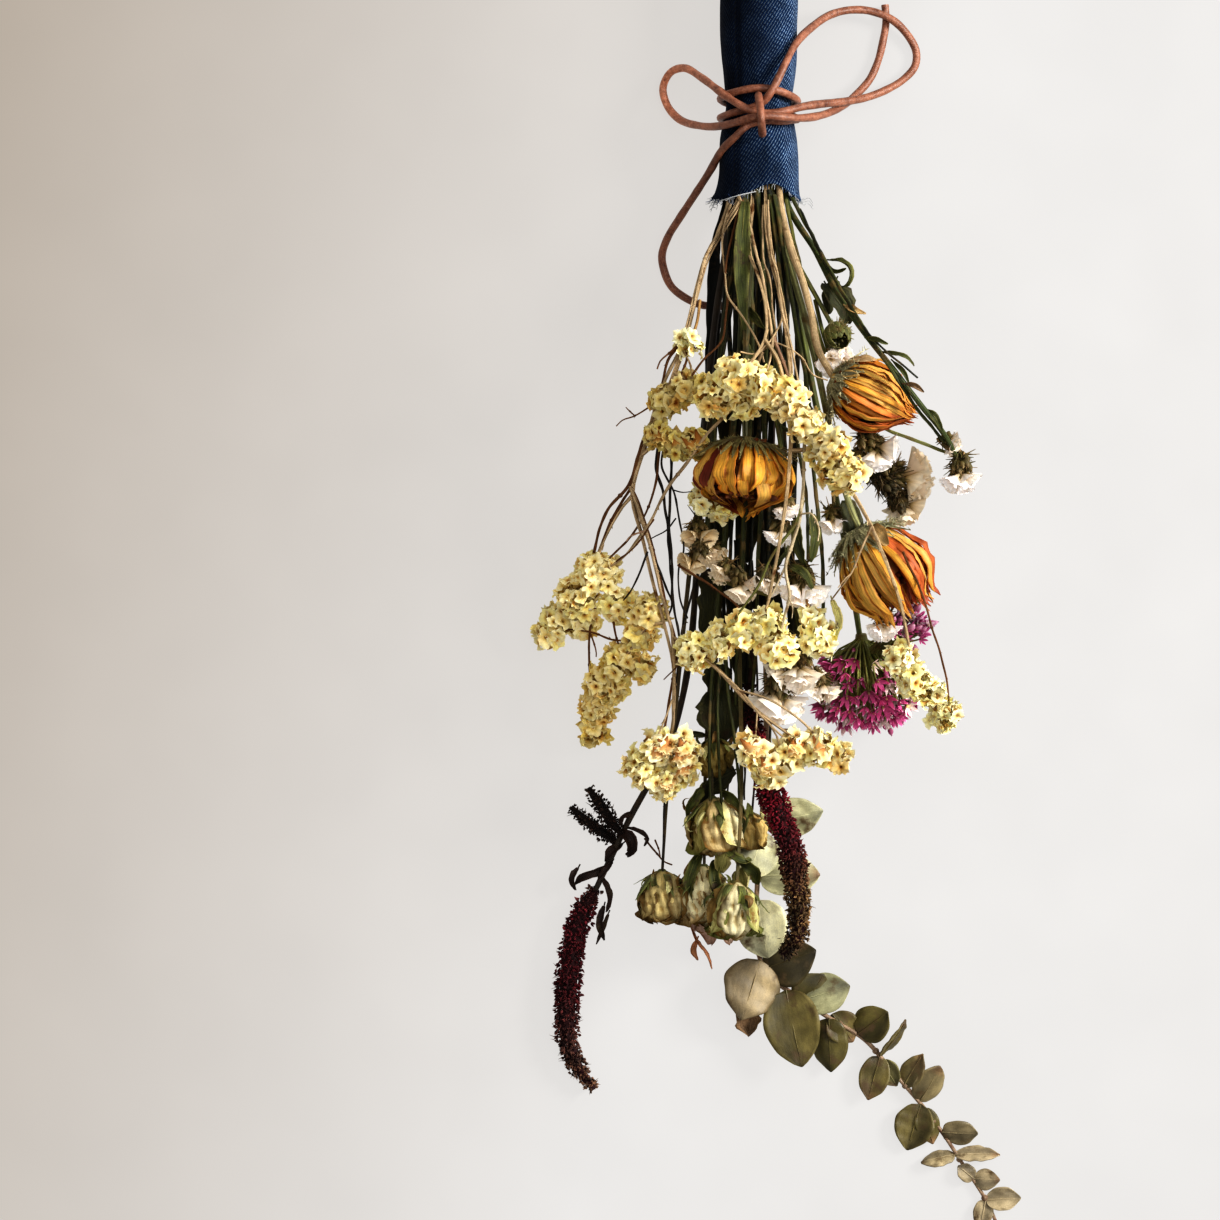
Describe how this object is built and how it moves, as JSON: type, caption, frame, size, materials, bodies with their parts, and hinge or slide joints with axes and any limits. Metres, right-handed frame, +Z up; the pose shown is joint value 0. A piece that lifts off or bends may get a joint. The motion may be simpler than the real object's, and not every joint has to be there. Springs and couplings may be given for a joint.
{
  "type": "dried flower swag",
  "caption": "Dried flower bunch lying flat: stems, papery blooms, seed spikes and leaves in a denim sleeve tied with a leather cord bow.",
  "frame": {"origin": "middle of the lying bunch at the surface it rests on, measured without the cord", "axes": "+Y along the bunch towards the cut stem ends, +Z up from the surface, +X to the right seen from above with the sleeve at the top"},
  "size_m": [0.198, 0.5944, 0.0974],
  "materials": {
    "denim": "indigo twill, worn pale on the weave, raw edge at the mouth",
    "leather": "matt red-brown round lace",
    "straw_stem": "dry straw, ridged",
    "green_stem": "dried green stem, ridged",
    "dark_stem": "dried stem, almost black",
    "twig": "smooth pink-brown twig",
    "dark_leaf": "dried leaf, almost black",
    "orange_petal": "dried strap petals, golden with red-brown veins",
    "magenta_floret": "dried small florets, magenta fading to lilac",
    "cream_petal": "dried petals, cream and olive with brown edges",
    "seed_spike": "knobbly seed spike, burgundy fading to brown",
    "eucalyptus_leaf": "leathery dried leaf, grey-green with a waxy bloom",
    "yellow_floret": "papery pale yellow with brown centres",
    "white_floret": "papery off-white with a pink tinge, brown-green bases"
  },
  "bodies": {
    "root": {"denim_wrap": "denim", "leather_cord": "leather", "leather_knot": "leather", "yellow_statice_stem_left": "straw_stem", "yellow_statice_stem_centre": "straw_stem", "yellow_statice_stem_right": "straw_stem", "strawflower_stem_1": "straw_stem", "strawflower_stem_2": "green_stem", "strawflower_stem_3": "green_stem", "white_statice_stem_right": "green_stem", "white_statice_stem_centre": "green_stem", "white_statice_stem_left": "green_stem", "rose_stem_1": "green_stem", "rose_stem_2": "green_stem", "rose_stem_3": "green_stem", "rose_stem_4": "green_stem", "allium_stem": "green_stem", "amaranth_left_stem": "dark_stem", "amaranth_right_stem": "dark_stem", "eucalyptus_stem": "twig", "strap_leaf": "dark_leaf", "strawflower_head_1": "orange_petal", "strawflower_head_2": "orange_petal", "strawflower_head_3": "orange_petal", "allium_head": "magenta_floret", "rose_bud_1": "cream_petal", "rose_bud_2": "cream_petal", "rose_bud_3": "cream_petal", "rose_bud_4": "cream_petal", "amaranth_left_spike": "seed_spike", "amaranth_right_spike": "seed_spike", "amaranth_left_side_spike_1": "seed_spike", "amaranth_left_side_spike_2": "seed_spike", "eucalyptus_leaf_1": "eucalyptus_leaf", "eucalyptus_leaf_2": "eucalyptus_leaf", "eucalyptus_leaf_3": "eucalyptus_leaf", "eucalyptus_leaf_4": "eucalyptus_leaf", "eucalyptus_leaf_5": "eucalyptus_leaf", "eucalyptus_leaf_6": "eucalyptus_leaf", "eucalyptus_leaf_7": "eucalyptus_leaf", "eucalyptus_leaf_8": "eucalyptus_leaf", "eucalyptus_leaf_9": "eucalyptus_leaf", "eucalyptus_leaf_10": "eucalyptus_leaf", "eucalyptus_leaf_11": "eucalyptus_leaf", "yellow_statice_bloom_1": "yellow_floret", "yellow_statice_bloom_2": "yellow_floret", "yellow_statice_bloom_3": "yellow_floret", "yellow_statice_bloom_4": "yellow_floret", "yellow_statice_bloom_5": "yellow_floret", "yellow_statice_bloom_6": "yellow_floret", "yellow_statice_bloom_7": "yellow_floret", "yellow_statice_bloom_8": "yellow_floret", "yellow_statice_bloom_9": "yellow_floret", "yellow_statice_bloom_10": "yellow_floret", "white_statice_bloom_1": "white_floret", "white_statice_bloom_2": "white_floret", "white_statice_bloom_3": "white_floret", "white_statice_bloom_4": "white_floret", "white_statice_bloom_5": "white_floret", "white_statice_bloom_6": "white_floret"}
  },
  "joints": []
}
